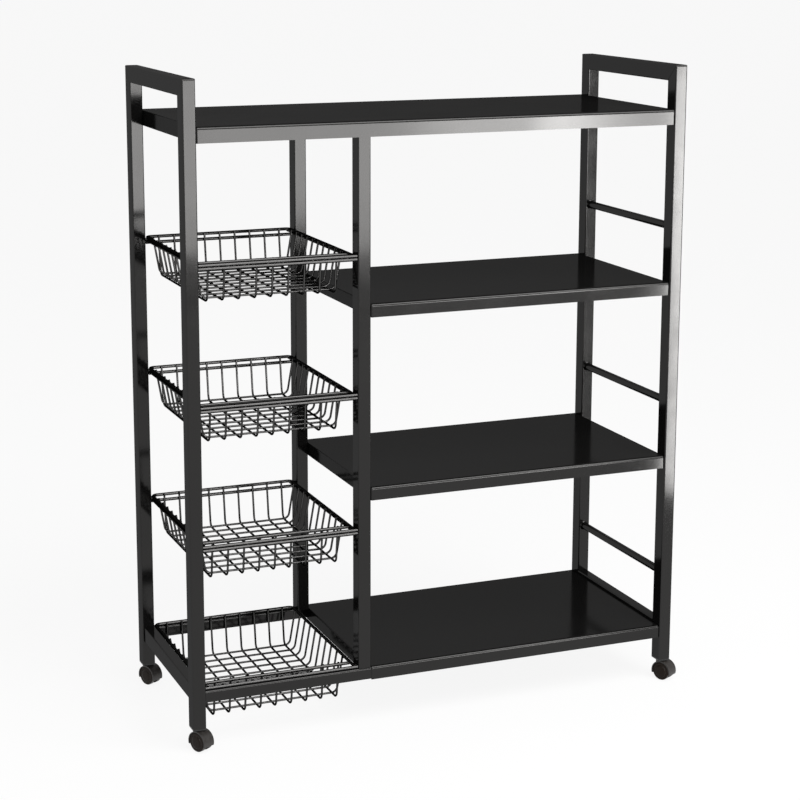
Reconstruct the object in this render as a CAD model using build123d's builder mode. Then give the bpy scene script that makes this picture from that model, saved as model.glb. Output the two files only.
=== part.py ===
from build123d import *
import os

os.makedirs("parts", exist_ok=True)

# Kitchen rack on casters: floor at z = 0, front towards -Y, basket bay on the left (-X).
# All sizes are in millimetres.

# Overall size
rack_width = 800
rack_depth = 310
rack_height = 990

# Rectangular steel tube of the side frames and divider posts
tube_width = 20
tube_depth = 25
tube_wall = 1.2
tube_edge = 2
handle_height = 25
handle_corner = 3
post_foot = 35

# Folded sheet shelves
sheet = 1.2
bend_radius = 4.5
end_bend_radius = 2
top_shelf_height = 923
upper_shelf_height = 654.5
middle_shelf_height = 376
bottom_shelf_height = 93.5
top_apron = 23.6
shelf_apron = 20.5
shelf_recess = 1.5

# Bottom frame
bay_width = 242
rail_depth = 12
rail_edge_ease = 0.2
side_rail_height = 25
side_rail_recess = 2.5
rail_notch_gap = 0.3
bottom_screw_inset = 40

# Round guard bars on the right side
guard_diameter = 12
guard_rise = 85
guard_wall = 1.2

# Wire baskets
rod_diameter = 5
wire_diameter = 3.2
weld_gap = 0.1
basket_depth = 58
end_taper = 8
side_taper = 10
wire_bend = 10
rim_corner = 8
wire_end_rise = 1.5
front_rod_inset = 6
front_rod_end_gap = 1
inner_rod_setback = 20
rim_side_gap = 1.7
long_wire_count = 9
long_wire_margin = 4.6
cross_wire_count = 10
cross_wire_margin = 3
catch_rod_drop = 8.5
catch_rod_end_gap = 3
top_basket_height = 726
basket_pitch = 207.5
slide_gap = 0.3

# Flat runners that carry the three upper baskets
runner_thickness = 2
runner_back_inset = 5

# Screws through the shelf ends into the posts
screw_diameter = 5
screw_clearance = 0.05
screw_reach = 9
screw_head_diameter = 9.5
screw_head_height = 2.6
socket_key = 3
socket_key_depth = 1.4

# Twin-wheel casters
wheel_diameter = 29
wheel_width = 6.5
wheel_edge = 1.6
hub_dish_diameter = 20
hub_dish_depth = 0.6
fork_width = 6.4
wheel_side_gap = 0.3
wheel_top_gap = 0.6
hood_wall = 1.8
hood_flat_drop = 5
caster_trail = 7
caster_turn = 28
boss_diameter = 14
boss_gap = 0.3
axle_diameter = 4
axle_end_inset = 0.8
axle_clearance = 0.06
stem_diameter = 8
stem_seat = 3.2
stem_reach = 22
stem_clearance = 0.06
stem_seat_clearance = 0.02
stem_end_gap = 0.5
socket_flange = 2
socket_length = 28
socket_gap = 0.1

# Places that follow from the sizes above
half_width = rack_width / 2
half_depth = rack_depth / 2
post_x = half_width - tube_width / 2
post_y = half_depth - tube_depth / 2
inner_face = half_width - tube_width
post_back_face = half_depth - tube_depth
divider_left = -inner_face + bay_width
divider_right = divider_left + tube_width
divider_x = (divider_left + divider_right) / 2
shelf_half_depth = half_depth - shelf_recess
rail_face = shelf_half_depth - sheet
rail_y = rail_face - rail_depth / 2
divider_y = rail_face - tube_depth / 2
rail_top = bottom_shelf_height - sheet
rail_foot = bottom_shelf_height - shelf_apron
bend_inside = bend_radius - sheet
rail_edge = bend_inside + rail_edge_ease
bend_seat_drop = bend_inside - (bend_inside**2 - (bend_inside - shelf_recess) ** 2) ** 0.5
divider_top = top_shelf_height - sheet - bend_seat_drop - weld_gap
side_rail_width = tube_width - side_rail_recess
bottom_screw_y = post_back_face - bottom_screw_inset
rod_radius = rod_diameter / 2
wire_radius = wire_diameter / 2
rim_left = -inner_face + rim_side_gap + rod_radius
rim_right = divider_left - rim_side_gap - rod_radius
rim_x = (rim_left + rim_right) / 2
front_rod_y = -half_depth + front_rod_inset
inner_rod_y = front_rod_y + inner_rod_setback
rim_back = rail_face - rail_depth + rod_radius - slide_gap
weld_step = rod_radius + wire_radius + weld_gap
cross_rod_step = rod_diameter + weld_gap
lowest_basket_height = rail_top + rod_radius + slide_gap
wheel_radius = wheel_diameter / 2
hood_radius = wheel_radius + wheel_top_gap + hood_wall
caster_width = fork_width + 2 * (wheel_side_gap + wheel_width)
socket_foot = post_foot - socket_flange
boss_top = socket_foot - boss_gap


def save(piece, label):
    piece.part.label = label
    export_step(piece.part, f"parts/{label}.step")


# Side frames: two mitred posts under a handle rail


def mitre_plane(side):
    """The cut between a post and the handle rail; side is -1 at the front and 1 at the back."""
    return Plane(
        origin=(0, side * half_depth, rack_height),
        x_dir=(1, 0, 0),
        z_dir=(0, -side * handle_height, tube_depth),
    )


def tube_section(width, depth, edge):
    """Hollow tube section at the current location of a sketch."""
    RectangleRounded(width, depth, edge)
    RectangleRounded(
        width - 2 * tube_wall,
        depth - 2 * tube_wall,
        max(edge - tube_wall, tube_wall / 4),
        mode=Mode.SUBTRACT,
    )


def round_handle_corners(x):
    """Trims the outer top corners of a side frame to a small radius."""
    outline_height = rack_height - post_foot + 2 * handle_corner
    with BuildSketch(Plane.YZ.offset(x)) as outline:
        with Locations((0, rack_height - outline_height / 2)):
            RectangleRounded(rack_depth, outline_height, handle_corner)
    extrude(outline.sketch, amount=tube_width, both=True, mode=Mode.INTERSECT)


def drill(points, depth):
    """Screw holes along X at each point, through a wall or apron thinner than the depth."""
    with Locations(*points):
        Cylinder(
            screw_diameter / 2 + screw_clearance,
            depth,
            rotation=(0, 90, 0),
            mode=Mode.SUBTRACT,
        )


top_screw_z = top_shelf_height - top_apron / 2
upper_screw_z = upper_shelf_height - shelf_apron / 2
middle_screw_z = middle_shelf_height - shelf_apron / 2
bottom_screw_z = bottom_shelf_height - shelf_apron / 2
bay_screw_heights = [upper_screw_z, middle_screw_z]
screw_heights = {"left": [top_screw_z], "right": [top_screw_z] + bay_screw_heights}
drill_depth = 2 * (tube_wall + sheet)

for frame_name, frame_side in (("left", -1), ("right", 1)):
    frame_x = frame_side * post_x
    for post_name, post_side in (("front", -1), ("back", 1)):
        with BuildPart() as post:
            with BuildSketch(Plane.XY.offset(post_foot)):
                with Locations((frame_x, post_side * post_y)):
                    tube_section(tube_width, tube_depth, tube_edge)
            extrude(amount=rack_height - post_foot)
            round_handle_corners(frame_x)
            split(bisect_by=mitre_plane(post_side), keep=Keep.BOTTOM)
            wall_x = frame_side * inner_face
            holes = [(wall_x, post_side * post_y, height) for height in screw_heights[frame_name]]
            drill(holes, drill_depth)
        save(post, f"{frame_name}_{post_name}_post")

    with BuildPart() as handle_rail:
        with BuildSketch(Plane.XZ.offset(-half_depth)):
            with Locations((frame_x, rack_height - handle_height / 2)):
                tube_section(tube_width, handle_height, tube_edge)
        extrude(amount=rack_depth)
        round_handle_corners(frame_x)
        split(bisect_by=mitre_plane(-1), keep=Keep.TOP)
        split(bisect_by=mitre_plane(1), keep=Keep.TOP)
    save(handle_rail, f"{frame_name}_handle_rail")

# Divider posts, from the bottom rails up into the bends under the top shelf
for post_name, post_side in (("front", -1), ("back", 1)):
    with BuildPart() as divider_post:
        with BuildSketch(Plane.XY.offset(rail_top)):
            with Locations((divider_x, post_side * divider_y)):
                tube_section(tube_width, tube_depth, tube_edge)
        extrude(amount=divider_top - rail_top)
        drill([(divider_right, post_side * divider_y, height) for height in bay_screw_heights], drill_depth)
    save(divider_post, f"{post_name}_divider_post")

# Shelves: trays folded from sheet, open below


def tray_block(left, right, depth_half, top, height, front_bend, end_bend):
    """Solid with a tray's outline and rounded upper edges."""
    with BuildPart() as block:
        with BuildSketch(Plane.XY.offset(top - height)):
            with Locations(((left + right) / 2, 0)):
                Rectangle(right - left, 2 * depth_half)
        extrude(amount=height)
        upper_edges = block.faces().sort_by(Axis.Z)[-1].edges()
        fillet(upper_edges.filter_by(Axis.X), front_bend)
        end_edges = block.faces().sort_by(Axis.Z)[-1].edges().filter_by(Axis.Y)
        fillet(end_edges, end_bend)
    return block.part


def tray_core(left, right, depth_half, top, height):
    """The hollow under a tray, one sheet thickness inside its outline."""
    return tray_block(
        left + sheet,
        right - sheet,
        depth_half - sheet,
        top - sheet,
        height - sheet,
        bend_inside,
        end_bend_radius - sheet,
    )


def end_holes(left, left_y, right_y, height):
    """Hole centres in both end aprons of a tray, front and back."""
    ends = [(left, -left_y), (left, left_y), (inner_face, -right_y), (inner_face, right_y)]
    return [(x, y, height) for x, y in ends]


top_outline = (-inner_face, inner_face, half_depth, top_shelf_height, top_apron)
top_block = tray_block(*top_outline, bend_radius, end_bend_radius)
top_hollow = tray_core(*top_outline)
with BuildPart() as top_shelf:
    add(top_block)
    add(top_hollow, mode=Mode.SUBTRACT)
    drill(end_holes(-inner_face, post_y, post_y, top_screw_z), drill_depth)
save(top_shelf, "top_shelf")

for shelf_name, shelf_height, screw_z in (
    ("upper", upper_shelf_height, upper_screw_z),
    ("middle", middle_shelf_height, middle_screw_z),
):
    shelf_outline = (divider_right, inner_face, shelf_half_depth, shelf_height, shelf_apron)
    shelf_block = tray_block(*shelf_outline, bend_radius, end_bend_radius)
    shelf_hollow = tray_core(*shelf_outline)
    with BuildPart() as bay_shelf:
        add(shelf_block)
        add(shelf_hollow, mode=Mode.SUBTRACT)
        drill(end_holes(divider_right, divider_y, post_y, screw_z), drill_depth)
    save(bay_shelf, f"{shelf_name}_shelf")

# The bottom shelf drops over the front and back rails, which pass through its ends
bottom_outline = (divider_right, inner_face, shelf_half_depth, bottom_shelf_height, shelf_apron)
bottom_block = tray_block(*bottom_outline, bend_radius, end_bend_radius)
with BuildPart() as bottom_hollow:
    add(tray_core(*bottom_outline))
    notch_depth = rail_depth + rail_notch_gap
    notch_height = shelf_apron + rail_edge
    notch_y = rail_face - notch_depth / 2
    notch_z = rail_top - notch_height / 2
    with BuildSketch(Plane.YZ.offset(divider_right)):
        with Locations((-notch_y, notch_z), (notch_y, notch_z)):
            RectangleRounded(notch_depth, notch_height, rail_edge)
    extrude(amount=inner_face - divider_right)
with BuildPart() as bottom_shelf:
    add(bottom_block)
    add(bottom_hollow.part, mode=Mode.SUBTRACT)
    bottom_holes = [(inner_face, y, bottom_screw_z) for y in (-bottom_screw_y, bottom_screw_y)]
    drill(bottom_holes, drill_depth)
save(bottom_shelf, "bottom_shelf")

# Bottom frame rails
for rail_name, rail_side in (("front", -1), ("back", 1)):
    with BuildPart() as cross_rail:
        with BuildSketch(Plane.YZ.offset(-inner_face)):
            with Locations((rail_side * rail_y, (rail_top + rail_foot) / 2)):
                tube_section(rail_depth, rail_top - rail_foot, rail_edge)
        extrude(amount=2 * inner_face)
    save(cross_rail, f"bottom_{rail_name}_rail")

for rail_name, rail_side in (("left", -1), ("right", 1)):
    with BuildPart() as side_rail:
        with BuildSketch(Plane.XZ.offset(-post_back_face)):
            side_rail_x = rail_side * (inner_face + side_rail_width / 2)
            with Locations((side_rail_x, rail_foot + side_rail_height / 2)):
                tube_section(side_rail_width, side_rail_height, tube_edge)
        extrude(amount=2 * post_back_face)
        if rail_name == "right":
            drill(bottom_holes, drill_depth)
    save(side_rail, f"bottom_{rail_name}_rail")

# Round guard bars between the right posts, one above each shelf of the right bay
for bar_name, shelf_height in (
    ("upper", upper_shelf_height),
    ("middle", middle_shelf_height),
    ("lower", bottom_shelf_height),
):
    with BuildPart() as guard_bar:
        with BuildSketch(Plane.XZ.offset(-post_back_face)):
            with Locations((post_x, shelf_height + guard_rise)):
                Circle(guard_diameter / 2)
                Circle(guard_diameter / 2 - guard_wall, mode=Mode.SUBTRACT)
        extrude(amount=2 * post_back_face)
    save(guard_bar, f"{bar_name}_guard_bar")

# Button-head screws that hold the shelves of sheet to the posts
screw_places = []
for y in (-post_y, post_y):
    screw_places.append((-inner_face + sheet, y, top_screw_z, -1))
    for height in [top_screw_z] + bay_screw_heights:
        screw_places.append((inner_face - sheet, y, height, 1))
for y in (-divider_y, divider_y):
    for height in bay_screw_heights:
        screw_places.append((divider_right + sheet, y, height, -1))
for y in (-bottom_screw_y, bottom_screw_y):
    screw_places.append((inner_face - sheet, y, bottom_screw_z, 1))

with BuildPart() as shelf_screws:
    for x, y, height, direction in screw_places:
        seat = Plane(origin=(x, y, height), x_dir=(0, 1, 0), z_dir=(direction, 0, 0))
        with BuildSketch(seat):
            Circle(screw_diameter / 2)
        extrude(amount=screw_reach)
        with BuildSketch(seat):
            Circle(screw_head_diameter / 2)
        extrude(amount=-screw_head_height)
        with BuildSketch(seat.offset(-screw_head_height)):
            RegularPolygon(socket_key / 2, 6, major_radius=False)
        extrude(amount=socket_key_depth, mode=Mode.SUBTRACT)
save(shelf_screws, "shelf_screws")

# Flat runners between the posts, under the side rods of a basket
runner_front = front_rod_y + rod_radius + slide_gap
runner_back = half_depth - runner_back_inset


def runner(wall_x, rod_x, rim_height, inward):
    """One runner, from the post face at wall_x inwards to just past the rod's axis."""
    runner_width = inward * (rod_x - wall_x) + rod_radius - slide_gap
    runner_top = rim_height - rod_radius - slide_gap
    with BuildPart() as strip:
        with BuildSketch(Plane.XZ.offset(-runner_front)):
            with Locations((wall_x + inward * runner_width / 2, runner_top - runner_thickness / 2)):
                Rectangle(runner_width, runner_thickness)
        extrude(amount=-(runner_back - runner_front))
    return strip


# Wire baskets


def u_wire(plane, half_span, depth, taper):
    """A wire bent to a U: two leaning legs and a flat bottom, drawn on its own plane."""
    with BuildLine(plane) as path:
        FilletPolyline(
            (-half_span, wire_end_rise),
            (-half_span + taper, -depth),
            (half_span - taper, -depth),
            (half_span, wire_end_rise),
            radius=wire_bend,
        )
    with BuildSketch(Plane(origin=path.line @ 0, z_dir=path.line % 0)) as section:
        Circle(wire_radius)
    sweep(section.sketch, path=path.line)


def straight_rod(y, height, left, right):
    """A rod along X."""
    with BuildSketch(Plane.YZ.offset(left)) as section:
        with Locations((y, height)):
            Circle(rod_radius)
    extrude(section.sketch, amount=right - left)


front_left_end = -inner_face + front_rod_end_gap
front_right_end = divider_left - front_rod_end_gap
cross_half_span = (rim_right - rim_left) / 2 - weld_step
long_front = inner_rod_y + weld_step
long_back = rim_back - weld_step
long_half_span = (long_back - long_front) / 2
long_y = (long_front + long_back) / 2
long_bottom = basket_depth
cross_bottom = long_bottom - wire_diameter - weld_gap
long_wire_reach = cross_half_span - side_taper - long_wire_margin
long_wire_pitch = 2 * long_wire_reach / (long_wire_count - 1)
cross_wire_inset = end_taper + wire_bend + cross_wire_margin
cross_wire_front = long_front + cross_wire_inset
cross_wire_back = long_back - cross_wire_inset
cross_wire_pitch = (cross_wire_back - cross_wire_front) / (cross_wire_count - 1)
lean = end_taper / (long_bottom + wire_end_rise)
wire_y_at_catch = long_back - lean * (catch_rod_drop + wire_end_rise)
catch_rod_y = wire_y_at_catch + weld_step * (1 + lean * lean) ** 0.5
catch_left_end = -inner_face + catch_rod_end_gap
catch_right_end = divider_left - catch_rod_end_gap


def basket(label, rim_height, slides):
    """One basket; a sliding one also has a lower front rod and a catch rod at the back."""
    side_start = front_rod_y + rod_radius + weld_gap
    with BuildPart() as rim:
        with BuildLine(Plane.XY.offset(rim_height)) as rim_path:
            FilletPolyline(
                (rim_left, side_start),
                (rim_left, rim_back),
                (rim_right, rim_back),
                (rim_right, side_start),
                radius=rim_corner,
            )
        with BuildSketch(Plane(origin=rim_path.line @ 0, z_dir=rim_path.line % 0)):
            Circle(rod_radius)
        sweep(path=rim_path.line)
    save(rim, f"{label}_rim")

    with BuildPart() as cross_rods:
        straight_rod(front_rod_y, rim_height, front_left_end, front_right_end)
        inner_gap = rod_radius + weld_gap
        straight_rod(inner_rod_y, rim_height, rim_left + inner_gap, rim_right - inner_gap)
        if slides:
            lower_rod = rim_height - cross_rod_step
            straight_rod(front_rod_y, lower_rod, front_left_end, front_right_end)
            catch_rod = rim_height - catch_rod_drop
            straight_rod(catch_rod_y, catch_rod, catch_left_end, catch_right_end)
    save(cross_rods, f"{label}_cross_rods")

    with BuildPart() as long_wires:
        for step in range(long_wire_count):
            wire_x = rim_x - long_wire_reach + step * long_wire_pitch
            place = Plane(origin=(wire_x, long_y, rim_height), x_dir=(0, 1, 0), z_dir=(1, 0, 0))
            u_wire(place, long_half_span, long_bottom, end_taper)
    save(long_wires, f"{label}_long_wires")

    with BuildPart() as cross_wires:
        for step in range(cross_wire_count):
            wire_y = cross_wire_front + step * cross_wire_pitch
            place = Plane(origin=(rim_x, wire_y, rim_height), x_dir=(1, 0, 0), z_dir=(0, -1, 0))
            u_wire(place, cross_half_span, cross_bottom, side_taper)
    save(cross_wires, f"{label}_cross_wires")


for tier in range(3):
    tier_height = top_basket_height - tier * basket_pitch
    basket(f"basket_{tier + 1}", tier_height, True)
    save(runner(-inner_face, rim_left, tier_height, 1), f"basket_{tier + 1}_left_runner")
    save(runner(divider_left, rim_right, tier_height, -1), f"basket_{tier + 1}_right_runner")
basket("basket_4", lowest_basket_height, False)

# Casters: socket in each post, swivelling stem and hood, two wheels on one axle
post_places = {
    "front_left": (-post_x, -post_y),
    "front_right": (post_x, -post_y),
    "back_left": (-post_x, post_y),
    "back_right": (post_x, post_y),
}

with BuildPart() as caster_sockets:
    plug_width = tube_width - 2 * tube_wall - 2 * socket_gap
    plug_depth = tube_depth - 2 * tube_wall - 2 * socket_gap
    with BuildSketch(Plane.XY.offset(socket_foot)):
        with Locations(*post_places.values()):
            RectangleRounded(tube_width, tube_depth, tube_edge)
    extrude(amount=socket_flange)
    with BuildSketch(Plane.XY.offset(post_foot)):
        with Locations(*post_places.values()):
            RectangleRounded(plug_width, plug_depth, tube_edge)
    extrude(amount=socket_length)
    with BuildSketch(Plane.XY.offset(socket_foot)):
        with Locations(*post_places.values()):
            Circle(stem_diameter / 2 + stem_clearance)
    extrude(amount=socket_flange + stem_reach + stem_end_gap, mode=Mode.SUBTRACT)
save(caster_sockets, "caster_sockets")

for place_name, (stem_x, stem_y) in post_places.items():
    axle_direction = Vector(1, 0, 0).rotate(Axis.Z, caster_turn)
    swivel = Plane(origin=(stem_x, stem_y, 0), x_dir=axle_direction, z_dir=(0, 0, 1))
    axle_point = swivel.from_local_coords((0, -caster_trail, wheel_radius))
    side = Plane(origin=axle_point, x_dir=swivel.y_dir, z_dir=swivel.x_dir)
    well_start = fork_width / 2

    with BuildPart() as hood:
        with BuildSketch(side.offset(-caster_width / 2)):
            Circle(hood_radius)
            with Locations((0, -hood_radius - hood_flat_drop)):
                Rectangle(2 * hood_radius, 2 * hood_radius, mode=Mode.SUBTRACT)
        extrude(amount=caster_width)
        with BuildSketch(swivel.offset(wheel_radius)):
            Circle(boss_diameter / 2)
        extrude(amount=boss_top - wheel_radius)
        for outward in (-1, 1):
            with BuildSketch(side.offset(outward * well_start)):
                Circle(wheel_radius + wheel_top_gap)
            extrude(amount=outward * caster_width, mode=Mode.SUBTRACT)
        with BuildSketch(side.offset(-caster_width / 2)):
            Circle(axle_diameter / 2 + axle_clearance)
        extrude(amount=caster_width, mode=Mode.SUBTRACT)
        with BuildSketch(swivel.offset(boss_top)):
            Circle(stem_diameter / 2 + stem_seat_clearance)
        extrude(amount=-stem_seat, mode=Mode.SUBTRACT)
    save(hood, f"{place_name}_caster_hood")

    with BuildPart() as stem:
        with BuildSketch(swivel.offset(boss_top - stem_seat)):
            Circle(stem_diameter / 2)
        extrude(amount=post_foot + stem_reach - boss_top + stem_seat)
    save(stem, f"{place_name}_caster_stem")

    with BuildPart() as axle:
        axle_length = caster_width - 2 * axle_end_inset
        with BuildSketch(side.offset(-axle_length / 2)):
            Circle(axle_diameter / 2)
        extrude(amount=axle_length)
    save(axle, f"{place_name}_caster_axle")

    with BuildPart() as wheels:
        for outward in (-1, 1):
            inner_side = side.offset(outward * (well_start + wheel_side_gap))
            with BuildSketch(inner_side):
                Circle(wheel_radius)
            extrude(amount=outward * wheel_width)
            outer_side = inner_side.offset(outward * wheel_width)
            rims = wheels.edges().filter_by(GeomType.CIRCLE).sort_by_distance(outer_side.origin)
            fillet(rims[0], wheel_edge)
            with BuildSketch(outer_side):
                Circle(hub_dish_diameter / 2)
            extrude(amount=-outward * hub_dish_depth, mode=Mode.SUBTRACT)
        with BuildSketch(side.offset(-caster_width / 2)):
            Circle(axle_diameter / 2 + axle_clearance)
        extrude(amount=caster_width, mode=Mode.SUBTRACT)
    save(wheels, f"{place_name}_caster_wheels")
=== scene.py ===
import math

import bmesh
import bpy
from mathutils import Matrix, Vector


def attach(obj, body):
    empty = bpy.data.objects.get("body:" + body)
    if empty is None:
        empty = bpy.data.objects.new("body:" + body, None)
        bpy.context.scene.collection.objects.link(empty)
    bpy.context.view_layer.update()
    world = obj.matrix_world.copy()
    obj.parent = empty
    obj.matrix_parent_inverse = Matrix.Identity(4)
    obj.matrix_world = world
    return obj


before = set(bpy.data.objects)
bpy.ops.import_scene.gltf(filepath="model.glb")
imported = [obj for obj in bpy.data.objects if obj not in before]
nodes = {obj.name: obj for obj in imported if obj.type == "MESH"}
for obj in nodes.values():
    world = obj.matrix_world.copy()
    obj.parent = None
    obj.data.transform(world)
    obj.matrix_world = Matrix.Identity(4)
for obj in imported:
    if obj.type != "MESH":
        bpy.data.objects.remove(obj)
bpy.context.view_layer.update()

# Node groups


def new_group(name, inputs, outputs):
    """An empty shader node group with named sockets."""
    group = bpy.data.node_groups.new(name, "ShaderNodeTree")
    for socket, kind, value in inputs:
        made = group.interface.new_socket(socket, in_out="INPUT", socket_type=kind)
        made.default_value = value
    for socket, kind in outputs:
        group.interface.new_socket(socket, in_out="OUTPUT", socket_type=kind)
    return group, group.nodes.new("NodeGroupInput"), group.nodes.new("NodeGroupOutput")


def noise(tree, place, scale, detail, rough=0.5):
    """A noise texture read at object coordinates."""
    node = tree.nodes.new("ShaderNodeTexNoise")
    node.inputs["Scale"].default_value = scale
    node.inputs["Detail"].default_value = detail
    node.inputs["Roughness"].default_value = rough
    tree.links.new(place, node.inputs["Vector"])
    return node.outputs["Fac"]


def ramp(tree, value, low, high, out_low=0.0, out_high=1.0):
    """A value moved from one range to another and held inside it."""
    node = tree.nodes.new("ShaderNodeMapRange")
    node.inputs["From Min"].default_value = low
    node.inputs["From Max"].default_value = high
    node.inputs["To Min"].default_value = out_low
    node.inputs["To Max"].default_value = out_high
    tree.links.new(value, node.inputs["Value"])
    return node.outputs["Result"]


def maths(tree, operation, first, second):
    """One arithmetic node; each side is a socket or a number."""
    node = tree.nodes.new("ShaderNodeMath")
    node.operation = operation
    for socket, value in zip(node.inputs, (first, second)):
        if isinstance(value, (int, float)):
            socket.default_value = value
        else:
            tree.links.new(value, socket)
    return node.outputs["Value"]


def mix_colour(tree, factor, first, second):
    """Two colours mixed by a factor; each colour is a socket or an RGB triple."""
    node = tree.nodes.new("ShaderNodeMix")
    node.data_type = "RGBA"
    tree.links.new(factor, node.inputs["Factor"])
    for name, value in (("A", first), ("B", second)):
        socket = [s for s in node.inputs if s.name == name and s.type == "RGBA"][0]
        if isinstance(value, tuple):
            socket.default_value = (*value, 1.0)
        else:
            tree.links.new(value, socket)
    return [s for s in node.outputs if s.type == "RGBA"][0]


dust_dulling = 0.4
scuff_dulling = 0.25


def build_enamel_peel():
    """Baked enamel: fine orange peel, slow unevenness of gloss and fine dust."""
    tree, given, result = new_group(
        "enamel_peel",
        [
            ("Peel Scale", "NodeSocketFloat", 900.0),
            ("Cloud Scale", "NodeSocketFloat", 14.0),
            ("Dust", "NodeSocketFloat", 0.3),
            ("Gloss Low", "NodeSocketFloat", 0.16),
            ("Gloss High", "NodeSocketFloat", 0.30),
        ],
        [("Height", "NodeSocketFloat"), ("Roughness", "NodeSocketFloat"), ("Dust Mask", "NodeSocketFloat")],
    )
    place = tree.nodes.new("ShaderNodeTexCoord").outputs["Object"]
    peel = tree.nodes.new("ShaderNodeTexNoise")
    peel.inputs["Detail"].default_value = 2.0
    tree.links.new(place, peel.inputs["Vector"])
    tree.links.new(given.outputs["Peel Scale"], peel.inputs["Scale"])
    cloud = tree.nodes.new("ShaderNodeTexNoise")
    cloud.inputs["Detail"].default_value = 5.0
    cloud.inputs["Roughness"].default_value = 0.6
    tree.links.new(place, cloud.inputs["Vector"])
    tree.links.new(given.outputs["Cloud Scale"], cloud.inputs["Scale"])
    specks = noise(tree, place, scale=2600.0, detail=1.0)
    speck_mask = ramp(tree, specks, low=0.66, high=0.74)
    patches = ramp(tree, cloud.outputs["Fac"], low=0.45, high=0.75)
    dust = maths(tree, "MULTIPLY", maths(tree, "MULTIPLY", speck_mask, patches), given.outputs["Dust"])
    spread = ramp(tree, cloud.outputs["Fac"], low=0.3, high=0.7)
    reach = maths(tree, "SUBTRACT", given.outputs["Gloss High"], given.outputs["Gloss Low"])
    gloss = maths(tree, "ADD", given.outputs["Gloss Low"], maths(tree, "MULTIPLY", spread, reach))
    rough = maths(tree, "ADD", gloss, maths(tree, "MULTIPLY", dust, dust_dulling))
    tree.links.new(peel.outputs["Fac"], result.inputs["Height"])
    tree.links.new(rough, result.inputs["Roughness"])
    tree.links.new(dust, result.inputs["Dust Mask"])
    return tree


def build_moulded_grain():
    """Moulded plastic: fine spark grain, gloss that varies, and scuffs."""
    tree, given, result = new_group(
        "moulded_grain",
        [("Grain Scale", "NodeSocketFloat", 1800.0), ("Scuff", "NodeSocketFloat", 0.5)],
        [("Height", "NodeSocketFloat"), ("Roughness", "NodeSocketFloat"), ("Scuff Mask", "NodeSocketFloat")],
    )
    place = tree.nodes.new("ShaderNodeTexCoord").outputs["Object"]
    grain = tree.nodes.new("ShaderNodeTexNoise")
    grain.inputs["Detail"].default_value = 3.0
    tree.links.new(place, grain.inputs["Vector"])
    tree.links.new(given.outputs["Grain Scale"], grain.inputs["Scale"])
    streak = noise(tree, place, scale=160.0, detail=4.0, rough=0.65)
    scuff = maths(tree, "MULTIPLY", ramp(tree, streak, low=0.52, high=0.72), given.outputs["Scuff"])
    clean = ramp(tree, streak, low=0.3, high=0.7, out_low=0.32, out_high=0.46)
    rough = maths(tree, "ADD", clean, maths(tree, "MULTIPLY", scuff, scuff_dulling))
    tree.links.new(grain.outputs["Fac"], result.inputs["Height"])
    tree.links.new(rough, result.inputs["Roughness"])
    tree.links.new(scuff, result.inputs["Scuff Mask"])
    return tree


enamel_peel = build_enamel_peel()
moulded_grain = build_moulded_grain()

# Materials


def start_material(name):
    """A material with its output and one Principled shader."""
    material = bpy.data.materials.new(name)
    material.use_nodes = True
    tree = material.node_tree
    shader = tree.nodes["Principled BSDF"]
    return material, tree, shader


def place_group(tree, group, **values):
    """A group node with its own values."""
    node = tree.nodes.new("ShaderNodeGroup")
    node.node_tree = group
    for name, value in values.items():
        node.inputs[name.replace("_", " ")].default_value = value
    return node


def add_bump(tree, shader, height, strength, distance):
    """A bump from a height into the shader's normal."""
    bump = tree.nodes.new("ShaderNodeBump")
    bump.inputs["Strength"].default_value = strength
    bump.inputs["Distance"].default_value = distance
    tree.links.new(height, bump.inputs["Height"])
    tree.links.new(bump.outputs["Normal"], shader.inputs["Normal"])


peel_strength = 0.12
peel_depth = 0.00004
warm_glint = (1.0, 0.985, 0.97, 1.0)


def black_enamel(name, tint, dust_tint, gloss, slant_gloss, slant_fall, **values):
    """Black baked enamel on steel; its gloss falls with the slant, so that it mirrors evenly."""
    material, tree, shader = start_material(name)
    peel = place_group(tree, enamel_peel, **values)
    colour = mix_colour(tree, peel.outputs["Dust Mask"], tint, dust_tint)
    tree.links.new(colour, shader.inputs["Base Color"])
    tree.links.new(peel.outputs["Roughness"], shader.inputs["Roughness"])
    slant = tree.nodes.new("ShaderNodeLayerWeight")
    slant.inputs["Blend"].default_value = 0.5
    fall = maths(tree, "POWER", maths(tree, "SUBTRACT", 1.0, slant.outputs["Facing"]), slant_fall)
    level = maths(tree, "MINIMUM", maths(tree, "MULTIPLY", fall, slant_gloss), gloss)
    shader.inputs["Specular IOR Level"].default_value = gloss
    tree.links.new(level, shader.inputs["Specular IOR Level"])
    shader.inputs["Specular Tint"].default_value = warm_glint
    add_bump(tree, shader, peel.outputs["Height"], peel_strength, peel_depth)
    return material


tube_enamel = black_enamel(
    "tube_enamel", tint=(0.0060, 0.0058, 0.0057), dust_tint=(0.08, 0.078, 0.074),
    gloss=0.37, slant_gloss=1.3, slant_fall=4.0,
    Peel_Scale=1100.0, Cloud_Scale=16.0, Dust=0.12, Gloss_Low=0.07, Gloss_High=0.13,
)
shelf_enamel = black_enamel(
    "shelf_enamel", tint=(0.0055, 0.0054, 0.0053), dust_tint=(0.07, 0.068, 0.065),
    gloss=0.37, slant_gloss=0.8, slant_fall=4.0,
    Peel_Scale=800.0, Cloud_Scale=7.0, Dust=0.2, Gloss_Low=0.09, Gloss_High=0.16,
)
wire_enamel = black_enamel(
    "wire_enamel", tint=(0.0045, 0.0044, 0.0043), dust_tint=(0.06, 0.056, 0.052),
    gloss=1.0, slant_gloss=2.4, slant_fall=8.0,
    Peel_Scale=1500.0, Cloud_Scale=40.0, Dust=0.1, Gloss_Low=0.06, Gloss_High=0.11,
)


grain_strength = 0.3
grain_depth = 0.00005


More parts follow.
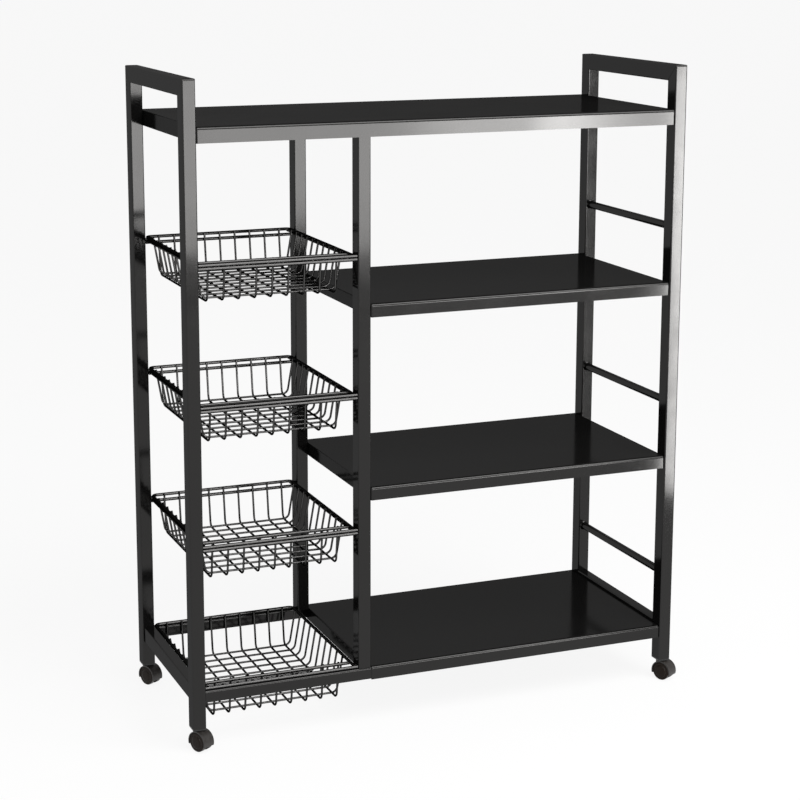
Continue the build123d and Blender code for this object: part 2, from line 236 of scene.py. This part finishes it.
def caster_plastic(name, tint, scuff_tint, grain_scale, scuff):
    """Moulded caster plastic."""
    material, tree, shader = start_material(name)
    grain = place_group(tree, moulded_grain, Grain_Scale=grain_scale, Scuff=scuff)
    colour = mix_colour(tree, grain.outputs["Scuff Mask"], tint, scuff_tint)
    tree.links.new(colour, shader.inputs["Base Color"])
    tree.links.new(grain.outputs["Roughness"], shader.inputs["Roughness"])
    add_bump(tree, shader, grain.outputs["Height"], grain_strength, grain_depth)
    return material


hood_plastic = caster_plastic(
    "hood_plastic", tint=(0.021, 0.018, 0.016), scuff_tint=(0.060, 0.055, 0.050),
    grain_scale=1800.0, scuff=0.4,
)
socket_plastic = caster_plastic(
    "socket_plastic", tint=(0.012, 0.012, 0.012), scuff_tint=(0.04, 0.038, 0.036),
    grain_scale=2200.0, scuff=0.3,
)


caster_turn = math.radians(28.0)
axle_way = Vector((math.cos(caster_turn), math.sin(caster_turn), 0.0))
tread_tint = (0.026, 0.023, 0.021)
tread_scuff_tint = (0.065, 0.060, 0.055)
disc_tint = (0.014, 0.009, 0.006)
disc_scuff_tint = (0.024, 0.017, 0.012)


def moulded_wheel():
    """Brown wheel discs with a greyer tread, told apart by the way each face looks."""
    material, tree, shader = start_material("wheel_rubber")
    grain = place_group(tree, moulded_grain, Grain_Scale=1400.0, Scuff=0.6)
    face_way = tree.nodes.new("ShaderNodeVectorMath")
    face_way.operation = "DOT_PRODUCT"
    face_way.inputs[1].default_value = axle_way
    tree.links.new(tree.nodes.new("ShaderNodeTexCoord").outputs["Normal"], face_way.inputs[0])
    disc_mask = ramp(tree, maths(tree, "ABSOLUTE", face_way.outputs["Value"], 0.0), low=0.55, high=0.85)
    tread = mix_colour(tree, grain.outputs["Scuff Mask"], tread_tint, tread_scuff_tint)
    disc = mix_colour(tree, grain.outputs["Scuff Mask"], disc_tint, disc_scuff_tint)
    tree.links.new(mix_colour(tree, disc_mask, tread, disc), shader.inputs["Base Color"])
    gloss = ramp(tree, disc_mask, low=0.0, high=1.0, out_low=0.5, out_high=0.12)
    tree.links.new(gloss, shader.inputs["Specular IOR Level"])
    tree.links.new(grain.outputs["Roughness"], shader.inputs["Roughness"])
    add_bump(tree, shader, grain.outputs["Height"], grain_strength, grain_depth)
    return material


wheel_plastic = moulded_wheel()


zinc_tint = (0.55, 0.55, 0.56)
stained_zinc_tint = (0.40, 0.39, 0.37)


def zinc_steel():
    """Zinc-coated steel of the stems, axles and screws."""
    material, tree, shader = start_material("zinc_steel")
    place = tree.nodes.new("ShaderNodeTexCoord").outputs["Object"]
    turning = noise(tree, place, scale=700.0, detail=3.0, rough=0.6)
    stain = noise(tree, place, scale=90.0, detail=4.0, rough=0.6)
    colour = mix_colour(tree, ramp(tree, stain, low=0.35, high=0.7), zinc_tint, stained_zinc_tint)
    tree.links.new(colour, shader.inputs["Base Color"])
    roughness = ramp(tree, turning, low=0.3, high=0.7, out_low=0.24, out_high=0.42)
    tree.links.new(roughness, shader.inputs["Roughness"])
    shader.inputs["Metallic"].default_value = 1.0
    add_bump(tree, shader, turning, strength=0.2, distance=0.00003)
    return material


stem_steel = zinc_steel()


def coat(node_name, material):
    """Gives a CAD node one material."""
    mesh = nodes[node_name].data
    mesh.materials.clear()
    mesh.materials.append(material)


for node_name in nodes:
    if node_name.endswith("_shelf"):
        coat(node_name, shelf_enamel)
    elif node_name.endswith(("_rim", "_cross_rods", "_long_wires", "_cross_wires")):
        coat(node_name, wire_enamel)
    elif node_name.endswith("_caster_hood"):
        coat(node_name, hood_plastic)
    elif node_name.endswith("_caster_wheels"):
        coat(node_name, wheel_plastic)
    elif node_name.endswith(("_caster_stem", "_caster_axle", "_screws")):
        coat(node_name, stem_steel)
    elif node_name == "caster_sockets":
        coat(node_name, socket_plastic)
    else:
        coat(node_name, tube_enamel)

# Welds and hub caps, which the solids leave out


def new_piece(name, mesh, material, body):
    """A scene piece that rides on one body."""
    mesh.materials.append(material)
    for face in mesh.polygons:
        face.use_smooth = True
    piece = bpy.data.objects.new(name, mesh)
    bpy.context.scene.collection.objects.link(piece)
    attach(piece, body)


def add_bead(form, centre, size):
    """One rounded bead of enamelled weld metal."""
    bead = bmesh.ops.create_uvsphere(form, u_segments=10, v_segments=6, radius=1.0)
    for vert in bead["verts"]:
        vert.co = Vector(centre) + Vector(a * b for a, b in zip(vert.co, size))


basket_rim_heights = {1: 0.726, 2: 0.5185, 3: 0.311, 4: 0.0951}
loose_basket = 4
rod_radius = 0.0025
wire_radius = 0.0016
rim_left = -0.3758
rim_right = -0.1422
rim_mid_x = (rim_left + rim_right) / 2
rim_back = 0.1425
front_rod_y = -0.149
inner_rod_y = -0.129
basket_depth = 0.058
long_wire_pitch = 0.0245
cross_wire_front = -0.1038
cross_wire_pitch = 0.0245667
wire_end_bead = (0.0017, 0.0008, 0.0019)
side_wire_bead = (0.0008, 0.0017, 0.0019)
crossing_bead = (0.0013, 0.0013, 0.0006)
front_rod_bead = (0.0024, 0.0009, 0.0022)
inner_rod_bead = (0.0009, 0.0024, 0.0022)
rod_pair_bead = (0.004, 0.0012, 0.0008)
rod_pair_bead_inset = 0.012
rod_pair_beads = 5
long_wire_count = 9
cross_wire_count = 10


def weld_beads(number, rim_z, slides):
    """The spot welds of one basket: wire ends on the rods, crossings and rod ends."""
    form = bmesh.new()
    long_xs = [rim_mid_x + (step - long_wire_count // 2) * long_wire_pitch for step in range(long_wire_count)]
    cross_ys = [cross_wire_front + step * cross_wire_pitch for step in range(cross_wire_count)]
    for x in long_xs:
        add_bead(form, (x, inner_rod_y + rod_radius, rim_z), wire_end_bead)
        add_bead(form, (x, rim_back - rod_radius, rim_z), wire_end_bead)
        for y in cross_ys:
            add_bead(form, (x, y, rim_z - basket_depth + wire_radius), crossing_bead)
    for y in cross_ys:
        add_bead(form, (rim_left + rod_radius, y, rim_z), side_wire_bead)
        add_bead(form, (rim_right - rod_radius, y, rim_z), side_wire_bead)
    for x, inward in ((rim_left, 1), (rim_right, -1)):
        add_bead(form, (x, front_rod_y + rod_radius, rim_z), front_rod_bead)
        add_bead(form, (x + inward * rod_radius, inner_rod_y, rim_z), inner_rod_bead)
    if slides:
        reach = rim_right - rim_left - 2 * rod_pair_bead_inset
        for step in range(rod_pair_beads):
            x = rim_left + rod_pair_bead_inset + step * reach / (rod_pair_beads - 1)
            add_bead(form, (x, front_rod_y, rim_z - rod_radius), rod_pair_bead)
    mesh = bpy.data.meshes.new(f"basket_{number}_weld_beads")
    form.to_mesh(mesh)
    form.free()
    new_piece(mesh.name, mesh, wire_enamel, f"basket_{number}")


for number, rim_z in basket_rim_heights.items():
    weld_beads(number, rim_z, slides=number != loose_basket)


guard_heights = (0.7395, 0.461, 0.1785)
guard_x = 0.390
guard_radius = 0.006
guard_weld_throat = 0.0018
weld_section = ((0.0, 1.0), (0.45, 0.35), (1.0, 0.0))  # across the post, along the bar
weld_turns = 28
weld_ripples = ((0.10, 7, 0.0), (0.06, 13, 1.0))  # share of the throat, count, phase
post_inner_y = 0.130


def weld_ring(form, centre, radius, throat, outward):
    """A fillet weld round a bar's end: a rippled ring of concave section against a post."""
    rows = []
    for turn in range(weld_turns):
        angle = 2 * math.pi * turn / weld_turns
        throat_here = throat
        for share, count, phase in weld_ripples:
            throat_here += throat * share * math.sin(count * angle + phase)
        ring = []
        for reach, along in weld_section:
            across = radius + reach * throat_here
            ring.append(form.verts.new((
                centre[0] + across * math.cos(angle),
                centre[1] + outward * along * throat_here,
                centre[2] + across * math.sin(angle),
            )))
        rows.append(ring)
    for turn in range(weld_turns):
        here, after = rows[turn], rows[(turn + 1) % weld_turns]
        for step in range(len(weld_section) - 1):
            form.faces.new((here[step], here[step + 1], after[step + 1], after[step]))


def guard_bar_welds():
    """The welds that hold the three guard bars to the right posts."""
    form = bmesh.new()
    for height in guard_heights:
        for side in (-1, 1):
            weld_ring(form, (guard_x, side * post_inner_y, height), guard_radius, guard_weld_throat, -side)
    mesh = bpy.data.meshes.new("guard_bar_welds")
    bmesh.ops.recalc_face_normals(form, faces=form.faces)
    form.to_mesh(mesh)
    form.free()
    new_piece(mesh.name, mesh, tube_enamel, "frame")


guard_bar_welds()


post_outer_x = 0.400
post_inner_x = 0.380
seam_rise = 0.00012
seam_width = 0.0012
seam_profile = ((0.0, 0.1), (0.06, 1.0), (0.94, 1.0), (1.0, 0.1))  # share of the length, share of the rise
seam_crown_share = 0.3
seam_outer_y = 0.1535
seam_outer_z = 0.9885
seam_inner_y = 0.1315
seam_inner_z = 0.9665


def seam_ridge(form, start, end, width, rise):
    """A low ridge along a ground weld, on a face that looks along X; rise is signed."""
    along = (end - start).normalized()
    across = along.cross(Vector((1, 0, 0))) * width / 2
    crown = Vector((rise, 0, 0))
    crown_edge = across * seam_crown_share
    rows = []
    for length_share, rise_share in seam_profile:
        point = start.lerp(end, length_share)
        top = point + crown * rise_share
        section = (point - across, top - crown_edge, top + crown_edge, point + across)
        rows.append([form.verts.new(place) for place in section])
    for here, after in zip(rows, rows[1:]):
        for step in range(len(here) - 1):
            form.faces.new((here[step], here[step + 1], after[step + 1], after[step]))


def handle_mitre_seams():
    """The ground welds across the four mitred handle corners, inside and outside."""
    form = bmesh.new()
    for side in (-1, 1):
        for depth_side in (-1, 1):
            for face_x, rise in ((post_outer_x, seam_rise), (post_inner_x, -seam_rise)):
                start = Vector((side * face_x, depth_side * seam_outer_y, seam_outer_z))
                end = Vector((side * face_x, depth_side * seam_inner_y, seam_inner_z))
                seam_ridge(form, start, end, seam_width, side * rise)
    bmesh.ops.recalc_face_normals(form, faces=form.faces)
    mesh = bpy.data.meshes.new("handle_mitre_seams")
    form.to_mesh(mesh)
    form.free()
    new_piece(mesh.name, mesh, tube_enamel, "frame")


handle_mitre_seams()

trail = 0.007
wheel_radius = 0.0145
caster_half_width = 0.010
cap_profile = (  # radius, rise
    (0.0097, -0.0006), (0.0097, 0.0001), (0.0093, 0.0004), (0.0070, 0.0006), (0.0040, 0.0007),
)
cap_crown = 0.00072
cap_turns = 40
stem_x = 0.390
stem_y = 0.1425


def hub_caps(corner, x, y):
    """Two domed caps that close the hubs of one caster."""
    form = bmesh.new()
    way_back = Vector((math.sin(caster_turn), -math.cos(caster_turn), 0.0))
    middle = Vector((x, y, wheel_radius)) + trail * way_back
    around = Vector((-axle_way.y, axle_way.x, 0.0))
    up = Vector((0.0, 0.0, 1.0))
    for outward in (-1, 1):
        rings = []
        for radius, rise in cap_profile:
            ring = []
            for turn in range(cap_turns):
                angle = 2 * math.pi * turn / cap_turns
                spoke = around * (radius * math.cos(angle)) + up * (radius * math.sin(angle))
                ring.append(form.verts.new(middle + axle_way * outward * (caster_half_width + rise) + spoke))
            rings.append(ring)
        crown = form.verts.new(middle + axle_way * outward * (caster_half_width + cap_crown))
        for here, after in zip(rings, rings[1:]):
            for turn in range(cap_turns):
                beside = (turn + 1) % cap_turns
                form.faces.new((here[turn], here[beside], after[beside], after[turn]))
        for turn in range(cap_turns):
            form.faces.new((rings[-1][turn], rings[-1][(turn + 1) % cap_turns], crown))
    bmesh.ops.recalc_face_normals(form, faces=form.faces)
    mesh = bpy.data.meshes.new(f"{corner}_hub_caps")
    form.to_mesh(mesh)
    form.free()
    new_piece(mesh.name, mesh, wheel_plastic, f"{corner}_wheels")


hub_caps("front_left", -stem_x, -stem_y)
hub_caps("front_right", stem_x, -stem_y)
hub_caps("back_left", -stem_x, stem_y)
hub_caps("back_right", stem_x, stem_y)

# Stage, lights and camera


floor_reach = 60.0
floor_glow = 0.89
floor_grey = (0.11, 0.11, 0.11, 1.0)


def pale_floor():
    """A wide pale floor that keeps the rack's shadow."""
    mesh = bpy.data.meshes.new("floor")
    mesh.from_pydata(
        [(x * floor_reach, y * floor_reach, 0.0) for x, y in ((-1, -1), (1, -1), (1, 1), (-1, 1))],
        [],
        [(0, 1, 2, 3)],
    )
    floor = bpy.data.objects.new("floor", mesh)
    bpy.context.scene.collection.objects.link(floor)
    material, tree, shader = start_material("floor_paper")
    shader.inputs["Base Color"].default_value = floor_grey
    shader.inputs["Roughness"].default_value = 0.9
    shader.inputs["Specular IOR Level"].default_value = 0.0
    glow = tree.nodes.new("ShaderNodeEmission")
    glow.inputs["Color"].default_value = (1.0, 1.0, 1.0, 1.0)
    path = tree.nodes.new("ShaderNodeLightPath")
    seen = maths(tree, "MAXIMUM", path.outputs["Is Camera Ray"], path.outputs["Is Glossy Ray"])
    seen = maths(tree, "MAXIMUM", seen, path.outputs["Is Transmission Ray"])
    tree.links.new(maths(tree, "MULTIPLY", seen, floor_glow), glow.inputs["Strength"])
    both = tree.nodes.new("ShaderNodeAddShader")
    tree.links.new(shader.outputs["BSDF"], both.inputs[0])
    tree.links.new(glow.outputs["Emission"], both.inputs[1])
    tree.links.new(both.outputs["Shader"], tree.nodes["Material Output"].inputs["Surface"])
    mesh.materials.append(material)


pale_floor()


wall_pale = (0.93, 0.925, 0.92)
wall_dim = (0.60, 0.595, 0.59)
ceiling_grey = (0.20, 0.20, 0.20)


def pale_studio():
    """A plain pale room with a dimmer ceiling, a little darker to the right."""
    world = bpy.data.worlds.new("studio")
    bpy.context.scene.world = world
    world.use_nodes = True
    tree = world.node_tree
    background = tree.nodes["Background"]
    way = tree.nodes.new("ShaderNodeTexCoord").outputs["Generated"]
    split = tree.nodes.new("ShaderNodeSeparateXYZ")
    tree.links.new(way, split.inputs["Vector"])
    rightward = ramp(tree, split.outputs["X"], low=0.24, high=0.56)
    upward = ramp(tree, split.outputs["Z"], low=0.42, high=0.75)
    walls = mix_colour(tree, rightward, wall_pale, wall_dim)
    colour = mix_colour(tree, upward, walls, ceiling_grey)
    tree.links.new(colour, background.inputs["Color"])


pale_studio()


def softbox(name, at, aim, width, height, power, spread=180.0):
    """A rectangular lamp at a place, turned towards a point; spread is its grid's angle in degrees."""
    lamp = bpy.data.lights.new(name, "AREA")
    lamp.shape = "RECTANGLE"
    lamp.size = width
    lamp.size_y = height
    lamp.energy = power
    lamp.spread = math.radians(spread)
    holder = bpy.data.objects.new(name, lamp)
    holder.location = at
    holder.rotation_euler = (Vector(aim) - Vector(at)).to_track_quat("-Z", "Y").to_euler()
    holder.visible_camera = False
    bpy.context.scene.collection.objects.link(holder)


softbox(
    "front_softbox", at=(0.9, -2.95, 0.56), aim=(0.0, 0.0, 0.65),
    width=1.56, height=0.62, power=23.0,
)
softbox(
    "corner_softbox", at=(1.37, -2.80, 0.63), aim=(0.2, 0.0, 0.75),
    width=0.54, height=0.46, power=5.2,
)
softbox(
    "apron_softbox", at=(0.66, -0.90, 0.84), aim=(0.28, -0.155, 0.91),
    width=0.26, height=0.16, power=1.4,
)
softbox(
    "right_strip", at=(0.845, -0.90, 0.62), aim=(0.39, -0.155, 0.73),
    width=0.06, height=1.08, power=0.37, spread=52.0,
)
softbox(
    "overhead_softbox", at=(0.6, -1.5, 2.6), aim=(0.0, 0.0, 0.6),
    width=2.4, height=1.4, power=62.0,
)


image_width = 800
focal_length_pixels = 1966.3
view_middle_pixel = 373.3
sensor_width = 36.0
camera_place = (-1.1520, -2.7861, 1.1884)
camera_pitch = math.radians(90 - 11.158)
camera_yaw = math.radians(-21.502)
camera_shift_y = -0.10
camera_far_limit = 200.0


def photo_camera():
    """The photograph's viewpoint."""
    lens = bpy.data.cameras.new("camera")
    lens.sensor_width = sensor_width
    lens.lens = focal_length_pixels / image_width * sensor_width
    lens.shift_x = 0.5 - view_middle_pixel / image_width
    lens.shift_y = camera_shift_y
    lens.clip_end = camera_far_limit
    camera = bpy.data.objects.new("camera", lens)
    camera.location = camera_place
    camera.rotation_euler = (camera_pitch, 0.0, camera_yaw)
    bpy.context.scene.collection.objects.link(camera)
    bpy.context.scene.camera = camera


photo_camera()
bpy.context.scene.view_settings.view_transform = "Standard"
